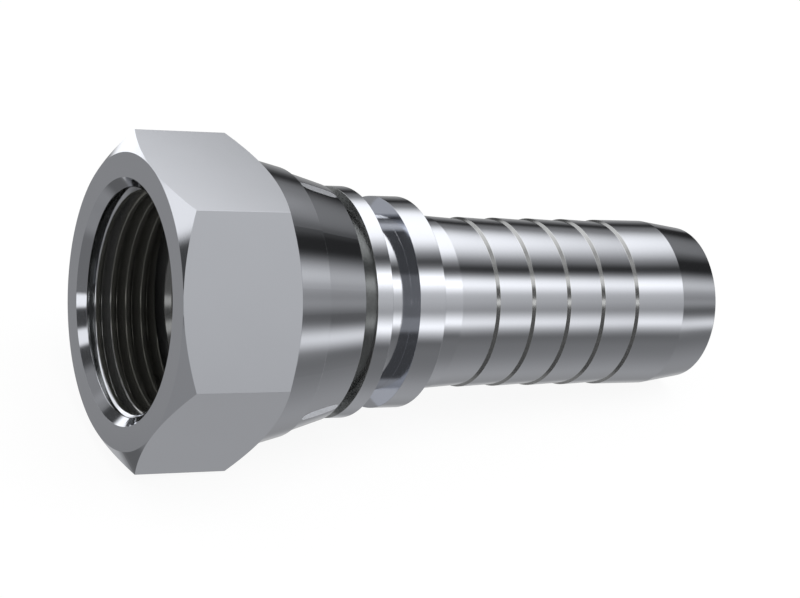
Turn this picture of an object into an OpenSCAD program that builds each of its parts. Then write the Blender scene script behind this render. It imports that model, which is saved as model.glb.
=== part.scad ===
// Press coupling for hydraulic hose: a hose nipple with a swivel nut crimped onto its head.
// The nut's front face is the plane X = 0, the common axis is X, and the hose tail points to +X.
// Two opposite flats of the hexagon are level, so the coupling can lie on one of them.
// All profiles of revolution are lists of [radius, station along the axis].

/* [Swivel nut] */
// Width of the hexagon across its flats
across_flats = 32; // [31:0.5:41]
// Length of the hexagon along the axis
hex_len = 13.5; // [13:0.1:20]
// Angle of the chamfers at both ends of the hexagon
chamfer_angle = 30; // [20:1:40]
// Inset of the chamfer circle from the flats
chamfer_inset = 0.1; // [0.05:0.05:0.4]
// Length of the skirt behind the hexagon
skirt_len = 8.9; // [7:0.1:12]
// Distance from the hexagon to the small shoulder round the skirt
shoulder_offset = 3.8; // [2:0.1:4.5]
// Diameter of the skirt just before the shoulder
shoulder_d = 30; // [29.6:0.1:31]
// Radial height of the shoulder
shoulder_step = 0.26; // [0.1:0.02:0.6]
// Diameter of the skirt at its rear end
skirt_end_d = 26.6; // [26:0.1:28]
// Rounding of the skirt's rear rim
rim_round = 0.1; // [0.05:0.05:0.5]

/* [Nut thread] */
// Minor diameter of the parallel pipe thread, which the plain bore has
thread_minor_d = 24.12; // [23.9:0.02:24.4]
// Depth at which the full thread ends, from the front face
thread_end = 9; // [7:0.1:9]
// Diameter of the thread relief, just over the major diameter
relief_d = 26.7; // [26.5:0.1:27.5]
// Width of the thread relief
relief_w = 2; // [1.5:0.1:2.4]
// Diameter of the chamfered mouth
mouth_d = 26.6; // [26:0.1:28]
// Depth of the mouth's chamfer
mouth_depth = 1.2; // [0.6:0.05:1.6]

/* [Nipple head] */
// Distance of the nose behind the nut's front face
nose_setback = 9.2; // [9.1:0.1:10]
// Diameter of the nose at its tip
nose_d = 20.4; // [19.6:0.1:21]
// Half angle of the sealing cone
nose_angle = 30; // [28:1:35]
// Diameter of the bead that the nut pulls on
bead_d = 23.8; // [23.2:0.1:24]
// Station of the bead's rear edge
bead_end = 16.3; // [15.6:0.1:17]
// Diameter of the neck that the nut's rear rim turns on
neck_d = 20.4; // [19.8:0.1:21]
// Fillet between the neck and the front collar
neck_fillet = 0.2; // [0.1:0.1:1.5]
// Diameter of the funnel at the nose
funnel_d = 18.6; // [17:0.1:19]
// Chamfer round the funnel's mouth
funnel_chamfer = 0.6; // [0.2:0.1:0.7]
// Depth of the funnel, down to the flow bore
funnel_depth = 5.8; // [3:0.1:9]
// Diameter of the flow bore
flow_d = 15.5; // [12:0.1:15.8]

/* [Collars] */
// Gap between the nut's rear rim and the front collar
collar_gap = 1.6; // [1.6:0.1:4]
// Diameter of the front collar
front_collar_d = 26; // [25:0.1:28]
// Width of the front collar
front_collar_w = 1.9; // [1:0.1:4]
// Diameter of the groove that the press ferrule locks in
groove_d = 20; // [17:0.1:21]
// Width of the groove
groove_w = 3.94; // [2:0.02:6]
// Fillet at the bottom corners of the groove
groove_fillet = 0.2; // [0.1:0.1:0.8]
// Diameter of the rear collar
rear_collar_d = 24; // [22:0.1:26]
// Width of the rear collar
rear_collar_w = 3.2; // [2:0.1:5]
// Broken edge on the collars
edge_break = 0.06; // [0.04:0.01:0.3]

/* [Hose tail] */
// Diameter of the plain shank behind the rear collar
shank_d = 19.8; // [19.7:0.1:21]
// Length of the plain shank
shank_len = 3.45; // [2:0.05:6]
// Length of the taper from the shank to the first barb
lead_len = 4.65; // [3:0.05:7]
// Number of barbs
barb_count = 5; // [3:1:7]
// Distance from one barb to the next
barb_pitch = 4.755; // [3.5:0.005:6]
// Diameter over the crest of a barb
barb_crest_d = 19.66; // [19.3:0.02:19.7]
// Diameter at the foot of a barb
barb_foot_d = 19.22; // [18.4:0.02:19.26]
// Length of the slope from a barb's foot up to its crest
barb_rise = 0.16; // [0.02:0.02:0.4]
// Length of the land behind the last barb
land_len = 6.7; // [4:0.1:10]
// Diameter at the end of the land
land_end_d = 19.53; // [19.3:0.01:19.66]
// Length of the tapered tip
tip_len = 5.3; // [3:0.1:8]
// Diameter at the very end of the tail
tip_d = 18.14; // [17.2:0.02:19]
// Chamfer at the mouth of the flow bore
flow_chamfer = 0.4; // [0.1:0.1:0.7]

/* [Fits] */
// Clearance between the nut and the nipple's head and neck
swivel_gap = 0.3; // [0.2:0.05:0.4]

/* [Hidden] */

// Cuts run past the faces they open by this much
over = 1;
// Facets round the axis, and along a rounded edge
round_fn = 180;
arc_steps = 6;

// Swivel nut
flat_r = across_flats / 2;
corner_r = flat_r / cos(30);
chamfer_r = flat_r - chamfer_inset;
chamfer_len = (corner_r - chamfer_r) * tan(chamfer_angle);
nut_len = hex_len + skirt_len;
shoulder_x = hex_len + shoulder_offset;
shoulder_r = shoulder_d / 2;
skirt_end_r = skirt_end_d / 2;

// Fit of the nut on the nipple: its chamber clears the bead and its rear rim clears the neck
bead_r = bead_d / 2;
neck_r = neck_d / 2;
chamber_r = bead_r + swivel_gap;
rim_r = neck_r + swivel_gap;

// Nut bore
minor_r = thread_minor_d / 2;
relief_r = relief_d / 2;
mouth_r = mouth_d / 2;
relief_end = thread_end + relief_w;

// Stations along the nipple
nose_r = nose_d / 2;
cone_end = nose_setback + (bead_r - nose_r) / tan(nose_angle);
front_collar_x = nut_len + collar_gap;
groove_x = front_collar_x + front_collar_w;
rear_collar_x = groove_x + groove_w;
shank_x = rear_collar_x + rear_collar_w;
lead_x = shank_x + shank_len;
first_barb_x = lead_x + lead_len;
land_x = first_barb_x + (barb_count - 1) * barb_pitch;
tip_x = land_x + land_len;
tail_end = tip_x + tip_len;

// Points on an arc round [r, x], from one angle to another; 0 points outwards and 90 to the tail
function arc(r, x, rad, from, to) =
    [for (i = [0:arc_steps])
        let (a = from + (to - from) * i / arc_steps) [r + rad * cos(a), x + rad * sin(a)]];

// A collar from station x0 to x1 with broken edges
function collar(r, x0, x1) =
    [[r - edge_break, x0], [r, x0 + edge_break], [r, x1 - edge_break], [r - edge_break, x1]];

// One barb: a steep rise that faces the nut, then a gentle fall towards the tip
function barb(x) = [[barb_foot_d / 2, x], [barb_crest_d / 2, x + barb_rise]];

// Turns a profile about the X axis
module turned(profile) {
    rotate([0, 90, 0]) rotate_extrude($fn = round_fn) polygon(profile);
}

// Hexagonal bar along X, with two of its flats level
module hex_bar(from, to) {
    translate([from, 0, 0]) rotate([0, 90, 0]) rotate([0, 0, 30])
        cylinder(h = to - from, r = corner_r, $fn = 6);
}

// Blank that chamfers both ends of the hexagon
module chamfer_blank() {
    turned([
        [0, 0],
        [chamfer_r, 0],
        [corner_r, chamfer_len],
        [corner_r + over, chamfer_len],
        [corner_r + over, hex_len - chamfer_len],
        [corner_r, hex_len - chamfer_len],
        [chamfer_r, hex_len],
        [0, hex_len]
    ]);
}

// Outside of the skirt: a shallow cone behind the hexagon, then a steeper one that starts a step lower
module skirt() {
    rim_x = nut_len - rim_round;
    turned(concat(
        [[0, hex_len - over], [chamfer_r - over, hex_len - over], [chamfer_r, hex_len],
         [shoulder_r, shoulder_x], [shoulder_r - shoulder_step, shoulder_x]],
        arc(skirt_end_r - rim_round, rim_x, rim_round, 16, 90),
        [[0, nut_len]]
    ));
}

// Inside of the nut: mouth, threaded bore, relief, chamber and the cone that holds the bead
module nut_bore() {
    turned([
        [0, -over],
        [mouth_r + over * (mouth_r - minor_r) / mouth_depth, -over],
        [minor_r, mouth_depth],
        [minor_r, thread_end],
        [relief_r, thread_end],
        [relief_r, relief_end],
        [chamber_r, relief_end],
        [chamber_r, bead_end],
        [rim_r, nut_len],
        [rim_r, nut_len + over],
        [0, nut_len + over]
    ]);
}

module swivel_nut() {
    color("silver") difference() {
        union() {
            intersection() {
                hex_bar(0, hex_len);
                chamfer_blank();
            }
            skirt();
        }
        nut_bore();
    }
}

// Outside of the nipple, from the nose to the tip of the tail
nipple_profile = concat(
    [[0, nose_setback], [nose_r, nose_setback], [bead_r, cone_end], [bead_r, bead_end], [neck_r, nut_len]],
    arc(neck_r + neck_fillet, front_collar_x - neck_fillet, neck_fillet, 180, 90),
    collar(front_collar_d / 2, front_collar_x, groove_x),
    arc(groove_d / 2 + groove_fillet, groove_x + groove_fillet, groove_fillet, 270, 180),
    arc(groove_d / 2 + groove_fillet, rear_collar_x - groove_fillet, groove_fillet, 180, 90),
    collar(rear_collar_d / 2, rear_collar_x, shank_x),
    [[shank_d / 2, shank_x], [shank_d / 2, lead_x]],
    [for (i = [0:barb_count - 1]) each barb(first_barb_x + i * barb_pitch)],
    [[land_end_d / 2, tip_x], [tip_d / 2, tail_end], [0, tail_end]]
);

// Inside of the nipple: chamfered funnel at the nose, flow bore and chamfered end
module flow_way() {
    funnel_r = funnel_d / 2;
    flow_r = flow_d / 2;
    turned([
        [0, nose_setback - over],
        [funnel_r + funnel_chamfer + over, nose_setback - over],
        [funnel_r, nose_setback + funnel_chamfer],
        [flow_r, nose_setback + funnel_depth],
        [flow_r, tail_end - flow_chamfer],
        [flow_r + flow_chamfer + over, tail_end + over],
        [0, tail_end + over]
    ]);
}

module hose_nipple() {
    color("lightsteelblue") difference() {
        turned(nipple_profile);
        flow_way();
    }
}

swivel_nut();
hose_nipple();
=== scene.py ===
import math

import bpy
import numpy as np
from mathutils import Matrix, Vector


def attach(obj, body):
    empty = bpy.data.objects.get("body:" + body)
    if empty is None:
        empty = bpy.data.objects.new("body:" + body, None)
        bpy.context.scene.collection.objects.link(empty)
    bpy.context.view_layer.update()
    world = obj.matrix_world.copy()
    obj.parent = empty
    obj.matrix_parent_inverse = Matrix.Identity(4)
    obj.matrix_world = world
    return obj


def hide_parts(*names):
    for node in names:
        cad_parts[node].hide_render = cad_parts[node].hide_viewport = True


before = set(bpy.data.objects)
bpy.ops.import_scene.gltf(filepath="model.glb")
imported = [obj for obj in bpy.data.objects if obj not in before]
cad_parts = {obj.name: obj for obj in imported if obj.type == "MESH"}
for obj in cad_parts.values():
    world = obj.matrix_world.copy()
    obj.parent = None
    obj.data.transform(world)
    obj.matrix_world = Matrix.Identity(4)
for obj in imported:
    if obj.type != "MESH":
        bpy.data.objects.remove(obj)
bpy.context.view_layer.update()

MM = 0.001

# Sizes are in millimetres. Stations are measured along +X, the common axis, from the nut's front face. Sizes
# are the solids' own, apart from small differences in the roundings, the front chamfer, the mouth's slope,
# the barbs and the radius TIP_R. The thread's form and the crimp marks are only here.

# Outside of the nut. The front chamfer starts nearer to the flats than the solid's.
FLAT_R = 16.0
CORNER_R = FLAT_R / math.cos(math.radians(30))
CORNER_ROUND = 0.025
HEX_LEN = 13.5
FRONT_CHAMFER_R, REAR_CHAMFER_R = 15.98, 15.9
CHAMFER_SLOPE = math.tan(math.radians(30))
SHOULDER_X, SHOULDER_R, SHOULDER_FOOT_R = 17.3, 15.0, 14.74
NUT_LEN, SKIRT_END_R = 22.4, 13.3

# Marks that the three crimping jaws leave on the steeper cone: the angle of each and how much it is scuffed,
# then the middle station, half length and half width of all
CRIMP_MARKS = [(math.radians(90), 0.6), (math.radians(208.5), 1.0), (math.radians(330), 0.7)]
MARK_X, MARK_HALF_LEN, MARK_HALF_WIDTH = 19.95, 2.4, 0.85
FULL_SCUFF_DEPTH = 0.006

# Inside of the nut
MOUTH_R, MOUTH_SLOPE = 13.3, 1.0
THREAD_MINOR_R, THREAD_MAJOR_R = 12.06, 13.22
THREAD_PITCH = 25.4 / 14
THREAD_START, THREAD_END, THREAD_FADE = 0.85, 9.0, 0.25
THREAD_PHASE = 0.3
FLANK_MIDDLE, FLANK_STEEPNESS, FLANK_ROUNDING = 0.58, 1.5, 0.1
RELIEF_R, RELIEF_END = 13.35, 11.0
CHAMBER_R, BEAD_END, RIM_R = 12.2, 16.3, 10.5

# Head and collars of the nipple
NOSE_X, NOSE_R = 9.2, 10.2
FUNNEL_R, FUNNEL_CHAMFER, FUNNEL_END = 9.3, 0.6, 15.0
BEAD_X, BEAD_R = 12.144, 11.9
NECK_R = 10.2
FRONT_COLLAR_X, FRONT_COLLAR_R = 24.0, 13.0
GROOVE_X, GROOVE_R = 25.9, 10.0
REAR_COLLAR_X, REAR_COLLAR_R = 29.84, 12.0

# Hose tail. The barbs rise more gently than the solid's, because the photograph's barb lines show it so.
SHANK_X, SHANK_R, LEAD_X = 33.04, 9.9, 36.49
BARB_X = 41.04 + 4.755 * np.arange(5)
BARB_FOOT_R, BARB_CREST_R, BARB_RISE = 9.62, 9.82, 0.41
TIP_X, TIP_R = 66.86, 9.815
TAIL_END, TAIL_END_R = 72.16, 9.07
FLOW_R, FLOW_CHAMFER = 7.75, 0.4

# How open the walls of the recesses are to the room; 1 is the bare outside. The plate's colour is
# scaled down by it, as painted shade, and the recesses are also rougher and less metallic
NECK_OPEN, RIM_OPEN, BARB_OPEN, INSIDE_OPEN = 0.66, 0.75, 0.42, 0.4
FLOW_OPEN, TAIL_OPEN, THREAD_OPEN = 0.3, 0.8, 0.25

# Depth in millimetres to which painted light reaches into the mouth and into the tail's end
MOUTH_LIT_DEPTH, TAIL_LIT_DEPTH = 3.3, 14

# Finish. The plate's tint follows readings of the photograph's colour.
PLATE_TINT = (0.825, 0.847, 0.905)
RECESS_TINT = (0.88, 0.88, 0.8)
PLATE_ROUGHNESS, RECESS_ROUGHNESS = 0.065, 0.12
CLOUD_ROUGHNESS, RING_ROUGHNESS = 0.03, 0.02
SCUFF_ROUGHNESS, SCUFF_SCATTER = 0.35, 0.5
RECESS_METALLIC = 0.7
RING_BUMP, RING_HEIGHT = 0.12, 0.02
RINGS_PER_METRE, CLOUDS_PER_METRE = 9000, 180

# Rows along the skirt, the threaded bore and the flow bore: from station, to station and how many
SKIRT_ROWS = (SHOULDER_X + 0.1, NUT_LEN - 0.15, 40)
BORE_ROWS = (THREAD_END - 0.02, 0.06, 142)
FLOW_ROWS = (71.5, 16.0, 38)

# Columns round the axis. On each flat they are dense in the middle.
DENSE_HALF = math.radians(5.2)
DENSE_COLUMNS, SIDE_COLUMNS, CORNER_COLUMNS = 30, 16, 5
NIPPLE_COLUMNS = 256

# Points on the arc of a rounded corner
NUT_ARC, NIPPLE_ARC = 5, 6


# Surfaces of revolution

def rounded_meridians(corners, count, arc):
    """Closed meridians with rounded corners.

    corners lists station, radius and rounding of each corner. A station or radius may be an array with one
    value for each of the count meridians. Each corner becomes arc points on the circle of its rounding that
    touches both sides. With unit directions u into the corner and v out of it and the turn T between them,
    the arc starts rounding * tan(T / 2) before the corner, and the tangent turns evenly from u to v along it.
    Returns the points and the tangents, both (count, corners * arc, 2).
    """
    every = np.ones(count)
    place = np.stack([np.stack([x * every, r * every], 1) for x, r, _ in corners], 1)
    rounding = np.array([corner[2] for corner in corners])
    u = place - np.roll(place, 1, axis=1)
    u /= np.linalg.norm(u, axis=2, keepdims=True)
    v = np.roll(u, -1, axis=1)
    turn = np.arctan2(u[..., 0] * v[..., 1] - u[..., 1] * v[..., 0], (u * v).sum(2))
    start = place - u * (rounding * np.abs(np.tan(turn / 2)))[..., None]
    angle = turn[..., None] * np.linspace(0, 1, arc)
    signed = (rounding * np.sign(turn))[..., None]
    left = np.stack([-u[..., 1], u[..., 0]], 2)[:, :, None]
    ahead = u[:, :, None]
    along, across = signed * np.sin(angle), signed * (1 - np.cos(angle))
    points = start[:, :, None] + along[..., None] * ahead + across[..., None] * left
    tangents = np.cos(angle)[..., None] * ahead + np.sin(angle)[..., None] * left
    shape = (count, -1, 2)
    return points.reshape(shape), tangents.reshape(shape)


def height_field(x, r, way):
    """Points and tangents of a surface given by its radius at rows of stations that run along +X or, with way
    -1, along -X. The slope is the change of radius over the change of station from row to row."""
    slope = np.gradient(r, axis=1) / np.gradient(x, axis=1)
    tangents = np.stack([np.ones_like(slope), slope], 2) * way
    return np.stack([x, r], 2), tangents / np.linalg.norm(tangents, axis=2, keepdims=True)


def turned_mesh(name, phi, points, tangents, painted_light_and_scuff):
    """Closed surface whose meridian at angle phi runs through points (station, radius), in millimetres.

    A point is (x, r cos phi, r sin phi). Both directions of the grid close on themselves. The normal is the
    cross product of the tangent along the meridian and the step from the meridian before to the one after.
    Its last argument is 1 where the surface is bare to the room, less in the recesses, whose colour the
    material paints darker as shade and makes duller, and up to 2 where it is scuffed; it is stored as a point
    attribute that the material reads.
    """
    def in_space(pair):
        x, r = pair[..., 0], pair[..., 1]
        return np.stack([x, r * np.cos(phi)[:, None], r * np.sin(phi)[:, None]], 2)

    place = in_space(points)
    round_step = np.roll(place, -1, axis=0) - np.roll(place, 1, axis=0)
    normals = np.cross(in_space(tangents), round_step)
    normals /= np.linalg.norm(normals, axis=2, keepdims=True)
    n, m = points.shape[:2]
    index = np.arange(n * m).reshape(n, m)
    beside, below = np.roll(index, -1, axis=0), np.roll(index, -1, axis=1)
    across = np.roll(beside, -1, axis=1)
    quads = np.stack([index, below, across, beside], 2).reshape(-1, 4)
    mesh = bpy.data.meshes.new(name)
    mesh.vertices.add(n * m)
    mesh.vertices.foreach_set("co", (place * MM).astype(np.float32).ravel())
    mesh.loops.add(quads.size)
    mesh.loops.foreach_set("vertex_index", quads.ravel().astype(np.int32))
    mesh.polygons.add(len(quads))
    mesh.polygons.foreach_set("loop_start", np.arange(0, quads.size, 4, dtype=np.int32))
    mesh.update(calc_edges=True)
    mesh.polygons.foreach_set("use_smooth", np.ones(len(quads), bool))
    mesh.normals_split_custom_set_from_vertices(normals.reshape(-1, 3))
    layer = mesh.attributes.new("painted_light_and_scuff", "FLOAT", "POINT")
    layer.data.foreach_set("value", np.broadcast_to(painted_light_and_scuff, (n, m)).astype(np.float32).ravel())
    piece = bpy.data.objects.new(name, mesh)
    bpy.context.scene.collection.objects.link(piece)
    return piece


# Swivel nut

def hexagon_angles():
    """Angles round the axis: dense in the middle of each flat, where the crimp marks are, and over the
    rounding of each corner, even between them."""
    half = math.radians(30)
    edge = half - CORNER_ROUND * math.tan(half) / CORNER_R
    side = np.linspace(DENSE_HALF, edge, SIDE_COLUMNS)
    middle = np.linspace(-DENSE_HALF, DENSE_HALF, DENSE_COLUMNS + 2)[1:-1]
    flat = np.concatenate([-side[::-1], middle, side])
    corner = np.linspace(edge, 2 * half - edge, CORNER_COLUMNS + 2)[1:-1]
    one = np.concatenate([flat, corner])
    return (one + math.radians(60) * np.arange(6)[:, None] + math.radians(90)).ravel()


def hexagon_radius(phi):
    """Distance from the axis to the hexagon's outline: the flat's distance over the cosine of the angle from
    the middle of the flat, held under a circle that rounds the corner where a ray meets that circle."""
    off = (phi - math.radians(90) + math.radians(30)) % math.radians(60) - math.radians(30)
    straight = FLAT_R / np.cos(off)
    centre = (FLAT_R - CORNER_ROUND) / math.cos(math.radians(30))
    away = np.abs(off) - math.radians(30)
    inside = CORNER_ROUND ** 2 - (centre * np.sin(away)) ** 2
    rounded = centre * np.cos(away) + np.sqrt(np.maximum(inside, 0))
    return np.where(inside > 0, np.minimum(straight, rounded), straight)


def smooth_step(t):
    """0 up to 0, 1 from 1 on, and 3 t^2 - 2 t^3 between them."""
    t = np.clip(t, 0, 1)
    return t * t * (3 - 2 * t)


def thread_radius(x, phi):
    """Radius of the threaded bore at station x and angle phi: a right-hand helix with flanks between the
    minor and the major radius, slightly rounded at crest and root, that fades in over the first quarter of a
    millimetre. The ridge is 0 on the thread's crest and 1 in its root."""
    ridge = np.abs(2 * ((x / THREAD_PITCH - phi / (2 * math.pi) + THREAD_PHASE) % 1) - 1)
    flank = np.clip((ridge - FLANK_MIDDLE) * FLANK_STEEPNESS + 0.5, 0, 1)
    depth = smooth_step(flank) * FLANK_ROUNDING + flank * (1 - FLANK_ROUNDING)
    start = smooth_step((x - THREAD_START) / THREAD_FADE)
    return THREAD_MINOR_R + (THREAD_MAJOR_R - THREAD_MINOR_R) * depth * start


def crimp_marks(x, cone, phi):
    """Depth of the crimp marks below the cone and how much they are scuffed: a flat along each mark, as deep
    as its width on the cone gives. The width narrows to nothing at both ends."""
    depth, scuffed = np.zeros_like(cone), np.zeros_like(cone)
    width = MARK_HALF_WIDTH * np.sqrt(np.clip(1 - ((x - MARK_X) / MARK_HALF_LEN) ** 4, 0, 1))
    for middle, scuff in CRIMP_MARKS:
        off = (phi - middle + math.pi) % (2 * math.pi) - math.pi
        flat = np.clip(width ** 2 - (cone * off) ** 2, 0, None) / (2 * cone)
        depth += flat
        scuffed += scuff * np.clip(flat / FULL_SCUFF_DEPTH, 0, 1)
    return depth, scuffed


def crimped_skirt(phi):
    """Rows of the steeper cone behind the shoulder, with the crimp marks cut into it, and their attribute for
    the
    material: 1, bare and without painted shade, plus how much the marks are scuffed. The cone's radius falls
    evenly from the shoulder's foot to the rear end, less the marks' depth."""
    x = np.linspace(*SKIRT_ROWS)[None, :] * np.ones((len(phi), 1))
    slope = (SKIRT_END_R - SHOULDER_FOOT_R) / (NUT_LEN - SHOULDER_X)
    cone = SHOULDER_FOOT_R + (x - SHOULDER_X) * slope
    marks, scuffed = crimp_marks(x, cone, phi[:, None])
    points, tangents = height_field(x, cone - marks, 1)
    return points, tangents, 1 + scuffed


def threaded_bore(phi):
    """Rows of the bore from the relief out to the mouth: the thread, or the mouth's cone where that is wider,
    and how open they are. The thread is painted dark as shade, and the flanks that face the mouth carry
    painted light, most near the mouth, less so deeper in; the mouth's cone is left bare."""
    x = np.linspace(*BORE_ROWS)[None, :] * np.ones((len(phi), 1))
    thread, cone = thread_radius(x, phi[:, None]), MOUTH_R - x * MOUTH_SLOPE
    points, tangents = height_field(x, np.maximum(thread, cone), -1)
    # painted light on the flanks that face the mouth, painted shade on the rest of the thread
    toward_mouth = np.clip(-np.gradient(thread, axis=1) / np.gradient(x, axis=1), 0, 1)
    painted_light_and_scuff = THREAD_OPEN + (1 - THREAD_OPEN) * toward_mouth * np.exp(-(x / MOUTH_LIT_DEPTH) ** 6)
    return points, tangents, np.where(cone > thread, 1.0, painted_light_and_scuff)


def make_swivel_nut():
    """Hexagon, crimped skirt, chamber, relief, threaded bore and chamfered mouth, in one closed surface.

    The hexagon's meridian depends on the angle: its chamfers start where the 30 degree cones reach the
    outline. The skirt's rows go between its two rounded edges, and the bore's rows take the place of the last
    two corners, which only give the direction of the sides beside them.
    """
    phi = hexagon_angles()
    outline = hexagon_radius(phi)
    corners = [
        (0, MOUTH_R, 0.02),
        (0, FRONT_CHAMFER_R, 0.01),
        ((outline - FRONT_CHAMFER_R) * CHAMFER_SLOPE, outline, 0.01),
        (HEX_LEN - (outline - REAR_CHAMFER_R) * CHAMFER_SLOPE, outline, 0.015),
        (HEX_LEN, REAR_CHAMFER_R, 0.03),
        (SHOULDER_X, SHOULDER_R, 0.03),
        (SHOULDER_X, SHOULDER_FOOT_R, 0.03),
        (NUT_LEN, SKIRT_END_R, 0.08),
        (NUT_LEN, RIM_R, 0.1),
        (BEAD_END, CHAMBER_R, 0.05),
        (RELIEF_END, CHAMBER_R, 0.05),
        (RELIEF_END, RELIEF_R, 0.1),
        (THREAD_END, RELIEF_R, 0.1),
        (THREAD_END, thread_radius(BORE_ROWS[0], phi) + 0.02, 0),
        (0.05, MOUTH_R - 0.05, 0),
    ]
    points, tangents = rounded_meridians(corners, len(phi), NUT_ARC)
    # rows up to the shoulder's foot, and from the end back to the relief
    shoulder_foot, relief = 7 * NUT_ARC, -2 * NUT_ARC
    # behind the skirt come its bare rear edge, up to the row rim, and the rim, up to the row inside
    rim, inside = 4, 7
    skirt, skirt_tangents, skirt_open = crimped_skirt(phi)
    bore, bore_tangents, bore_open = threaded_bore(phi)
    outside_open = np.ones((len(phi), shoulder_foot))
    # the nut's inside is painted darker as shade, its rim less so, and its bare rear edge not at all
    inside_open = np.full((len(phi), points.shape[1] - shoulder_foot + relief), INSIDE_OPEN)
    inside_open[:, rim:inside] = RIM_OPEN
    inside_open[:, :rim] = 1
    points = np.concatenate([points[:, :shoulder_foot], skirt, points[:, shoulder_foot:relief], bore], 1)
    tangents = np.concatenate(
        [tangents[:, :shoulder_foot], skirt_tangents, tangents[:, shoulder_foot:relief], bore_tangents], 1)
    painted_light_and_scuff = np.concatenate([outside_open, skirt_open, inside_open, bore_open], 1)
    return turned_mesh("swivel_nut_turned", phi, points, tangents, painted_light_and_scuff)


# Hose nipple

def barb(x):
    """Two corners of one barb: its foot and, after a short rise towards the tail, its crest."""
    # the rise from the foot to the crest is painted darker, as shade
    return [(x, BARB_FOOT_R, 0.1, BARB_OPEN), (x + BARB_RISE, BARB_CREST_R, 0.1, 1)]


def make_hose_nipple():
    """Nose, bead, neck, collars with the ferrule groove between them, shank, barbed tail and the flow bore,
    as one closed meridian turned round the axis. The flow bore's wall has rows of its own, because it is open
    to the room only near the tail's end: it is painted dark as shade, lighter towards the tail's end. The
    head inside the nut, the neck and the barbs' rises are painted darker as shade too."""
    # station, radius and rounding of each corner, and how open the wall after it is, which scales its colour
    # as painted shade
    outline = [
        (NOSE_X, FUNNEL_R + FUNNEL_CHAMFER, 0.05, INSIDE_OPEN),
        (NOSE_X, NOSE_R, 0.08, INSIDE_OPEN),
        (BEAD_X, BEAD_R, 0.1, INSIDE_OPEN),
        (BEAD_END, BEAD_R, 0.1, INSIDE_OPEN),
        (NUT_LEN, NECK_R, 0.2, NECK_OPEN),
        (FRONT_COLLAR_X, NECK_R, 0.05, NECK_OPEN),
        (FRONT_COLLAR_X, FRONT_COLLAR_R, 0.04, 1),
        (GROOVE_X, FRONT_COLLAR_R, 0.04, 1),
        (GROOVE_X, GROOVE_R, 0.05, 1),
        (REAR_COLLAR_X, GROOVE_R, 0.02, 1),
        (REAR_COLLAR_X, REAR_COLLAR_R, 0.02, 1),
        (SHANK_X, REAR_COLLAR_R, 0.04, 1),
        (SHANK_X, SHANK_R, 0.06, 1),
        (LEAD_X, SHANK_R, 0.3, 1),
        *[corner for x in BARB_X for corner in barb(x)],
        (TIP_X, TIP_R, 0.15, 1),
        (TAIL_END, TAIL_END_R, 0.12, 1),
        (TAIL_END, FLOW_R + FLOW_CHAMFER, 0.05, 1),
        (TAIL_END - FLOW_CHAMFER, FLOW_R, 0.05, TAIL_OPEN),
        (FUNNEL_END, FLOW_R, 0.3, FLOW_OPEN),
        (NOSE_X + FUNNEL_CHAMFER, FUNNEL_R, 0.1, INSIDE_OPEN),
    ]
    phi = np.linspace(0, 2 * math.pi, NIPPLE_COLUMNS, endpoint=False)
    points, tangents = rounded_meridians([corner[:3] for corner in outline], len(phi), NIPPLE_ARC)
    after, part = np.array([[corner[3]] for corner in outline]), np.linspace(0, 1, NIPPLE_ARC)
    painted_light_and_scuff = (np.roll(after, 1, axis=0) * (1 - part) + after * part).ravel()
    x = np.linspace(*FLOW_ROWS)
    wall = np.stack([x, np.full_like(x, FLOW_R)], 1) * np.ones((len(phi), 1, 1))
    wall_tangents = np.array([-1, 0]) * np.ones_like(wall)
    # the flow bore is painted dark as shade, lighter near the tail's end
    wall_open = FLOW_OPEN + (TAIL_OPEN - FLOW_OPEN) * np.exp(-((TAIL_END - x) / TAIL_LIT_DEPTH) ** 2)
    funnel = -2 * NIPPLE_ARC
    points = np.concatenate([points[:, :funnel], wall, points[:, funnel:]], 1)
    tangents = np.concatenate([tangents[:, :funnel], wall_tangents, tangents[:, funnel:]], 1)
    painted_light_and_scuff = np.concatenate([painted_light_and_scuff[:funnel], wall_open, painted_light_and_scuff[funnel:]])
    return turned_mesh("hose_nipple_turned", phi, points, tangents, painted_light_and_scuff[None, :])


# Materials

class Nodes:
    """Small helper that adds nodes to a tree and links them."""

    def __init__(self, tree):
        self.tree = tree
        tree.nodes.clear()

    def add(self, kind, *inputs, **settings):
        """Adds a node. Inputs are links or values, in the order of the node's sockets."""
        node = self.tree.nodes.new(kind)
        for key, value in settings.items():
            setattr(node, key, value)
        for i, value in enumerate(inputs):
            self.set(node, i, value)
        return node

    def set(self, node, socket, value):
        """Links an output to a socket, or gives the socket a value."""
        if isinstance(value, bpy.types.NodeSocket):
            self.tree.links.new(value, node.inputs[socket])
        else:
            node.inputs[socket].default_value = value

    def math(self, operation, a, b=0.0):
        return self.add("ShaderNodeMath", a, b, operation=operation).outputs[0]

    def smooth(self, value, low, high, to_low=0.0, to_high=1.0):
        """Smooth step of value from low to high."""
        inputs = (value, low, high, to_low, to_high)
        return self.add("ShaderNodeMapRange", *inputs, interpolation_type="SMOOTHSTEP").outputs[0]

    def mix(self, factor, first, second):
        """Colour between two colours."""
        node = self.add("ShaderNodeMix", data_type="RGBA")
        for socket, value in ((0, factor), (6, first), (7, second)):
            self.set(node, socket, value)
        return node.outputs[2]

    def noise(self, place, scale, detail):
        node = self.add("ShaderNodeTexNoise", place)
        self.set(node, "Scale", scale)
        self.set(node, "Detail", detail)
        return node.outputs[0]


def opaque(colour, factor=1.0):
    """Colour times a factor, at most 1, with alpha 1."""
    return tuple(min(1.0, part * factor) for part in colour) + (1.0,)


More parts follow.
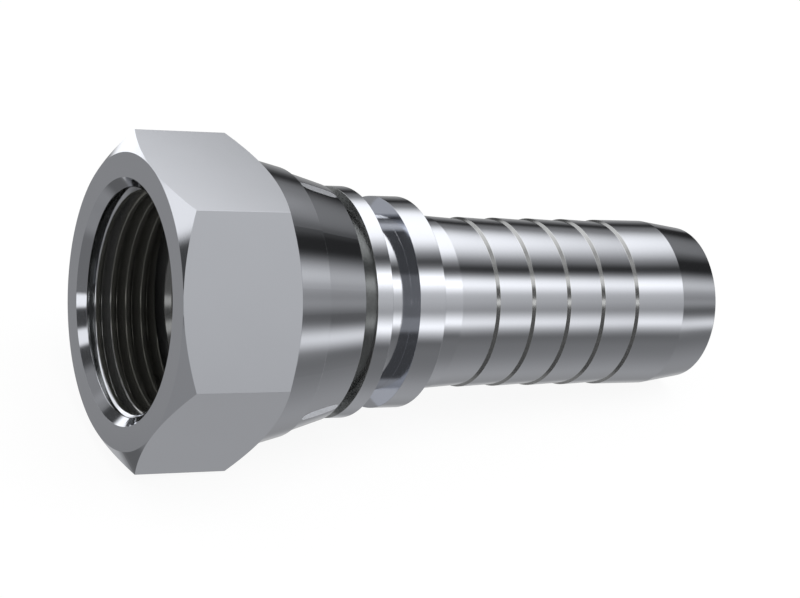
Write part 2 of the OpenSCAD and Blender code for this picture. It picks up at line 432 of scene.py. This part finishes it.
def zinc_plate(name):
    """Bright zinc plate on turned steel: faint turning rings round the axis, cloudy plating and small changes
    of roughness. In the recesses the colour is painted darker, as painted shade, and the metal is rougher,
    less metallic and less tinted; scuffed metal scatters."""
    material = bpy.data.materials.new(name)
    material.use_nodes = True
    make = Nodes(material.node_tree)
    place = make.add("ShaderNodeTexCoord").outputs["Object"]
    x, y, z = make.add("ShaderNodeSeparateXYZ", place).outputs
    radius = make.math("SQRT", make.math("ADD", make.math("MULTIPLY", y, y), make.math("MULTIPLY", z, z)))
    along = make.math("MULTIPLY", make.math("ADD", x, radius), RINGS_PER_METRE)
    rings = make.noise(make.add("ShaderNodeCombineXYZ", along).outputs[0], 1.0, 3.0)
    cloud = make.noise(place, CLOUDS_PER_METRE, 4.0)

    # the attribute is 1 on the bare outside, less in the recesses, which are painted darker as shade, and
    # above 1 where scuffed
    painted_light_and_scuff = make.add("ShaderNodeAttribute", attribute_name="painted_light_and_scuff").outputs["Fac"]
    bare = make.math("MINIMUM", painted_light_and_scuff, 1.0)
    scuffed = make.math("SUBTRACT", painted_light_and_scuff, bare)

    plate = make.mix(cloud, opaque(PLATE_TINT, 0.985), opaque(PLATE_TINT, 1.015))
    # the plate's tint takes over from the recess tint in two steps of openness: in the shallow recesses, and
    # again on the bare outside
    plate_tint_share = make.math("ADD", make.smooth(bare, 0.3, 0.42, 0.0, 0.6), make.smooth(bare, 0.8, 1.0, 0.0, 0.4))
    # painted shade: the colour is scaled down by how open the surface is
    colour = make.add("ShaderNodeVectorMath", make.mix(plate_tint_share, opaque(RECESS_TINT), plate), operation="SCALE")
    make.set(colour, "Scale", bare)

    cloud_part = make.math("MULTIPLY", cloud, CLOUD_ROUGHNESS)
    rough = make.math("ADD", cloud_part, make.math("MULTIPLY", rings, RING_ROUGHNESS))
    rough = make.math("ADD", rough, PLATE_ROUGHNESS)
    dull = make.math("MULTIPLY", make.math("SUBTRACT", 1.0, bare), RECESS_ROUGHNESS)
    rough = make.math("ADD", rough, dull)
    rough = make.math("ADD", rough, make.math("MULTIPLY", scuffed, SCUFF_ROUGHNESS))

    metallic = make.math("ADD", make.math("MULTIPLY", bare, 1 - RECESS_METALLIC), RECESS_METALLIC)
    metallic = make.math("SUBTRACT", metallic, make.math("MULTIPLY", scuffed, SCUFF_SCATTER))

    bump = make.add("ShaderNodeBump")
    make.set(bump, "Strength", make.math("MULTIPLY", bare, RING_BUMP))
    make.set(bump, "Distance", RING_HEIGHT * MM)
    make.set(bump, "Height", rings)

    shader = make.add("ShaderNodeBsdfPrincipled")
    make.set(shader, "Metallic", metallic)
    make.set(shader, "Base Color", colour.outputs[0])
    make.set(shader, "Roughness", rough)
    make.set(shader, "Normal", bump.outputs[0])
    make.add("ShaderNodeOutputMaterial", shader.outputs[0])
    return material


# Studio

# The light tent is level with the picture, which is turned 30 degrees about X from the resting part.
TENT_TURN = math.radians(-30)
TENT_RADIUS = 4.0
# Cards on the tent: azimuth of the middle (0 faces the viewer, 90 is +X), half width, soft edge, then
# elevation from, to and soft edge, then level. Angles in degrees.
# The right side's cards and levels are the rounded result of a separate least squares program that fitted
# them to the photograph's brightness. Given, not fitted, are only the ceiling's azimuth, half width and soft
# edge, and the azimuth and half width of back_wall.
RIGHT_CARDS = {
    "ceiling": (0, 180, 1, 49.6, 96.8, 6.5, 0.91),
    "front_ceiling_edge": (45.9, 18.6, 20.1, 40.5, 49.2, 7, 0.31),
    "front_wall": (5.3, 36.9, 14.6, -26, 11.8, 3.9, 0.26),
    "front_upper_strip": (-16.4, 42.6, 42.6, 12.8, 27, 6, 1.5),
    "front_middle_strip": (-58.8, 58.7, 60, 18.9, 35, 4, 0.94),
    "front_lower_strip": (-20.9, 64, 37.5, -28.9, -17.8, 10.2, 1.37),
    "right_wall": (67.9, 21, 5.3, -4.7, 1, 3.9, 0.08),
    "right_upper_strip": (59.1, 52, 14.6, 6.1, 21.7, 7.5, 0.32),
    "right_lower_strip": (90.2, 33.6, 8.1, -24.3, -17.6, 5.9, 0.68),
    "back_wall": (165.5, 32.5, 2.6, -10.8, 25, 10.8, 0.24),
    "back_upper_wall": (117.5, 37, 9.9, 38.6, 46, 6.6, 0.24),
    "back_lower_strip": (143.6, 42.8, 15.8, -25.3, -9.6, 10.8, 0.39),
    "back_left_strip": (-168.1, 6.9, 17.8, 16.2, 36.9, 3.7, 0.88),
    "back_floor": (193.3, 107.3, 58.9, -75.9, -29, 6.9, 0.18),
}
# Level of the right side between its cards, by elevation, from the same fit
RIGHT_LEVELS = [
    (-90, 0.037), (-60, 0.162), (-45, 0.159), (-34, 0.116), (-20, 0.057), (-10, 0.091),
    (0, 0.212), (10, 0.072), (24, 0.029), (34, 0.01), (42, 0.005), (90, 0.8),
]
# The left side's cards were set one by one, trial by trial, to bring its reflections near to the
# photograph's.
# The azimuth of rear_strip is from the fit. The four barb cards were added for the barbs alone.
LEFT_CARDS = {
    "barb_low_strip": (-17, 6, 2.5, -4.5, 3, 1.5, 1.9),
    "barb_upper_strip": (-17, 6, 2.5, 18.5, 32, 2, 1.65),
    "barb_wall": (-17, 7, 3, 34, 46, 3, 0.36),
    "barb_ceiling": (-20, 12, 4, 46, 75, 3, 0.7),
    "front_low_wall": (-72, 22, 8, -45, -6, 3, 0.1),
    "low_wall": (-122, 28, 8, -49, -6, 3, 0.19),
    "rear_low_wall": (-172, 20, 6, -45, -10, 4, 0.06),
    "rear_lower_strip": (165, 21, 6, -22, -8, 3, 0.36),
    "front_wall": (-38, 14, 5, -34, 30, 3, 0.085),
    "front_low_wall_strip": (-38, 14, 5, -33, -18, 3, 0.1),
    "front_lower_strip": (-75, 18, 4, -5, 3.2, 1.2, 0.95),
    "front_upper_strip": (-70, 14, 5, 16.3, 26, 1.5, 0.85),
    "middle_strip": (-124, 30, 6, 19.3, 33.5, 2.5, 0.83),
    "rear_strip": (-168.1, 12, 10, 15.5, 31, 3, 1.15),
    "rear_wall": (-154, 17, 5, -6, 12, 3, 0.2),
    "upper_wall": (-112, 30, 6, 38, 50, 3, 0.17),
    "rear_ceiling": (-142, 22, 8, 48, 90, 3, 0.42),
}
# Level of the left side between its cards, and the least that the tent gives anywhere
LEFT_LEVEL = 0.055
LEAST_LEVEL = 0.02


def card_light(make, elevation, heading, azimuth, half, soft, low, high, edge, level):
    """Light of one card of the tent, soft at its edges. A card with half width 180 goes all the way round."""
    light = make.math("MULTIPLY", make.smooth(elevation, low - edge, low + edge),
                      make.smooth(elevation, high - edge, high + edge, 1.0, 0.0))
    if half < 180:
        turn = math.radians(azimuth)
        middle = (math.sin(turn), -math.cos(turn), 0)
        facing = make.add("ShaderNodeVectorMath", heading, middle, operation="DOT_PRODUCT").outputs["Value"]
        outer, inner = math.radians(min(half + soft, 179)), math.radians(max(half - soft, 0))
        light = make.math("MULTIPLY", light, make.smooth(facing, math.cos(outer), math.cos(inner)))
    return make.math("MULTIPLY", light, level)


def side_light(make, elevation, heading, level, cards):
    """Light of one side of the tent: its own level and all its cards."""
    for card in cards.values():
        level = make.math("ADD", level, card_light(make, elevation, heading, *card))
    return level


def level_by_elevation(make, elevation):
    """Level of the right side between its cards, straight from one named elevation to the next."""
    ramp = make.add("ShaderNodeValToRGB", make.add("ShaderNodeMapRange", elevation, -90, 90).outputs[0])
    stops = ramp.color_ramp.elements
    while len(stops) < len(RIGHT_LEVELS):
        stops.new(0.5)
    for stop, (angle, level) in zip(stops, RIGHT_LEVELS):
        stop.position = (angle + 90) / 180
        stop.color = (level, level, level, 1)
    return make.add("ShaderNodeSeparateXYZ", ramp.outputs[0]).outputs[0]


def tent_light():
    """Light of the tent's cards by direction. The right side and the left side have cards of their own; the
    left side ends in front of the viewer, behind the part and near the top."""
    material = bpy.data.materials.new("tent_light")
    material.use_nodes = True
    make = Nodes(material.node_tree)
    place = make.add("ShaderNodeTexCoord").outputs["Object"]
    way = make.add("ShaderNodeVectorMath", place, operation="NORMALIZE").outputs[0]
    up = make.add("ShaderNodeSeparateXYZ", way).outputs[2]
    elevation = make.math("MULTIPLY", make.math("ARCSINE", up), math.degrees(1))
    level_way = make.add("ShaderNodeVectorMath", way, (1, 1, 0), operation="MULTIPLY").outputs[0]
    heading = make.add("ShaderNodeVectorMath", level_way, operation="NORMALIZE").outputs[0]
    right = side_light(make, elevation, heading, level_by_elevation(make, elevation), RIGHT_CARDS)
    left = side_light(make, elevation, heading, LEFT_LEVEL, LEFT_CARDS)
    # the right side's share grows with the heading's part along +X, and is whole near the top
    share = make.smooth(make.add("ShaderNodeSeparateXYZ", heading).outputs[0], -0.15, 0.25)
    share = make.math("MAXIMUM", share, make.smooth(elevation, 63, 75))
    total = make.math("ADD", make.math("MULTIPLY", right, share),
                      make.math("MULTIPLY", left, make.math("SUBTRACT", 1.0, share)))
    light = make.add("ShaderNodeEmission", (1, 1, 1, 1), make.math("MAXIMUM", total, LEAST_LEVEL))
    make.add("ShaderNodeOutputMaterial", light.outputs[0])
    return material


def studio_tent():
    """A sphere of light cards round the part, seen only by its gloss."""
    bpy.ops.mesh.primitive_uv_sphere_add(segments=64, ring_count=32, radius=TENT_RADIUS)
    tent = bpy.context.object
    tent.name = "studio_tent"
    tent.rotation_euler = (TENT_TURN, 0, 0)
    tent.visible_camera = False
    tent.visible_diffuse = False
    tent.visible_shadow = False
    tent.data.materials.append(tent_light())


def seen_ray(make):
    """1 for camera, glossy and transmission rays."""
    ray = make.add("ShaderNodeLightPath")
    either = make.math("MAXIMUM", ray.outputs["Is Camera Ray"], ray.outputs["Is Glossy Ray"])
    return make.math("MAXIMUM", either, ray.outputs["Is Transmission Ray"])


def studio_world():
    """White room: strength 1 where it is seen, 0.6 as light."""
    world = bpy.data.worlds.new("studio_world")
    bpy.context.scene.world = world
    world.use_nodes = True
    make = Nodes(world.node_tree)
    strength = make.math("ADD", make.math("MULTIPLY", seen_ray(make), 0.4), 0.6)
    light = make.add("ShaderNodeBackground", (1, 1, 1, 1), strength)
    make.add("ShaderNodeOutputWorld", light.outputs[0])


def studio_floor():
    """White floor just under the hexagon's rear edge, tilted up to the tail's tip, on which the part lies."""
    gap, hexagon_rest_x = 0.02, 13.43
    tip_rest_x, tip_rest_r = 66.9, 9.77
    slope = math.atan2(FLAT_R - tip_rest_r, tip_rest_x - hexagon_rest_x)
    bpy.ops.mesh.primitive_plane_add(size=6)
    floor = bpy.context.object
    floor.name = "studio_floor"
    floor.rotation_euler = (0, -slope, 0)
    floor.location = (hexagon_rest_x * MM, 0, -(FLAT_R + gap) * MM)
    floor.visible_glossy = False
    material = bpy.data.materials.new("floor_white")
    material.use_nodes = True
    make = Nodes(material.node_tree)
    plain = make.add("ShaderNodeBsdfDiffuse", (1, 1, 1, 1))
    glow = make.add("ShaderNodeEmission", (1, 1, 1, 1), 1.02)
    share = make.math("MULTIPLY", seen_ray(make), 0.9)
    mix = make.add("ShaderNodeMixShader", share, plain.outputs[0], glow.outputs[0])
    make.add("ShaderNodeOutputMaterial", mix.outputs[0])
    floor.data.materials.append(material)


def studio_lamp():
    """A wide, soft lamp from above, which casts the faint shadow."""
    lamp = bpy.data.lights.new("soft_lamp", "SUN")
    lamp.energy = 0.4 * math.pi
    lamp.angle = math.radians(50)
    holder = bpy.data.objects.new("soft_lamp", lamp)
    holder.rotation_euler = (math.radians(20), math.radians(10), 0)
    holder.visible_glossy = False
    bpy.context.scene.collection.objects.link(holder)


def studio_camera():
    """Camera of the photograph: it looks across the axis from the nut's side, level with the picture. Its
    distance and target are in millimetres and its focal length in pixels of the photograph. All of them come
    from a fit to the photograph's outlines."""
    distance, target = 253.132, Vector((34.051, 0.157, 0.272))
    focal, photo_width = 2217.9, 800
    forward = Vector((0.4939, 0.7530, -0.4348)).normalized()
    up = Vector((0, 0.5, math.cos(math.radians(30))))
    up = (up - forward * up.dot(forward)).normalized()
    right = forward.cross(up)
    data = bpy.data.cameras.new("studio_camera")
    data.sensor_width = 36
    data.lens = focal * data.sensor_width / photo_width
    data.clip_start, data.clip_end = 0.01, 20
    camera = bpy.data.objects.new("studio_camera", data)
    turn = Matrix((right, up, -forward)).transposed().to_4x4()
    camera.matrix_world = Matrix.Translation((target - forward * distance) * MM) @ turn
    bpy.context.scene.collection.objects.link(camera)
    bpy.context.scene.camera = camera


studio_camera()
studio_world()
studio_floor()
studio_tent()
studio_lamp()

nut = make_swivel_nut()
nut.data.materials.append(zinc_plate("nut_zinc_plate"))
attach(nut, "nut")
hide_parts("swivel_nut")

nipple = make_hose_nipple()
nipple.data.materials.append(zinc_plate("nipple_zinc_plate"))
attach(nipple, "nipple")
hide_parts("hose_nipple")

bpy.context.scene.view_settings.view_transform = "Standard"
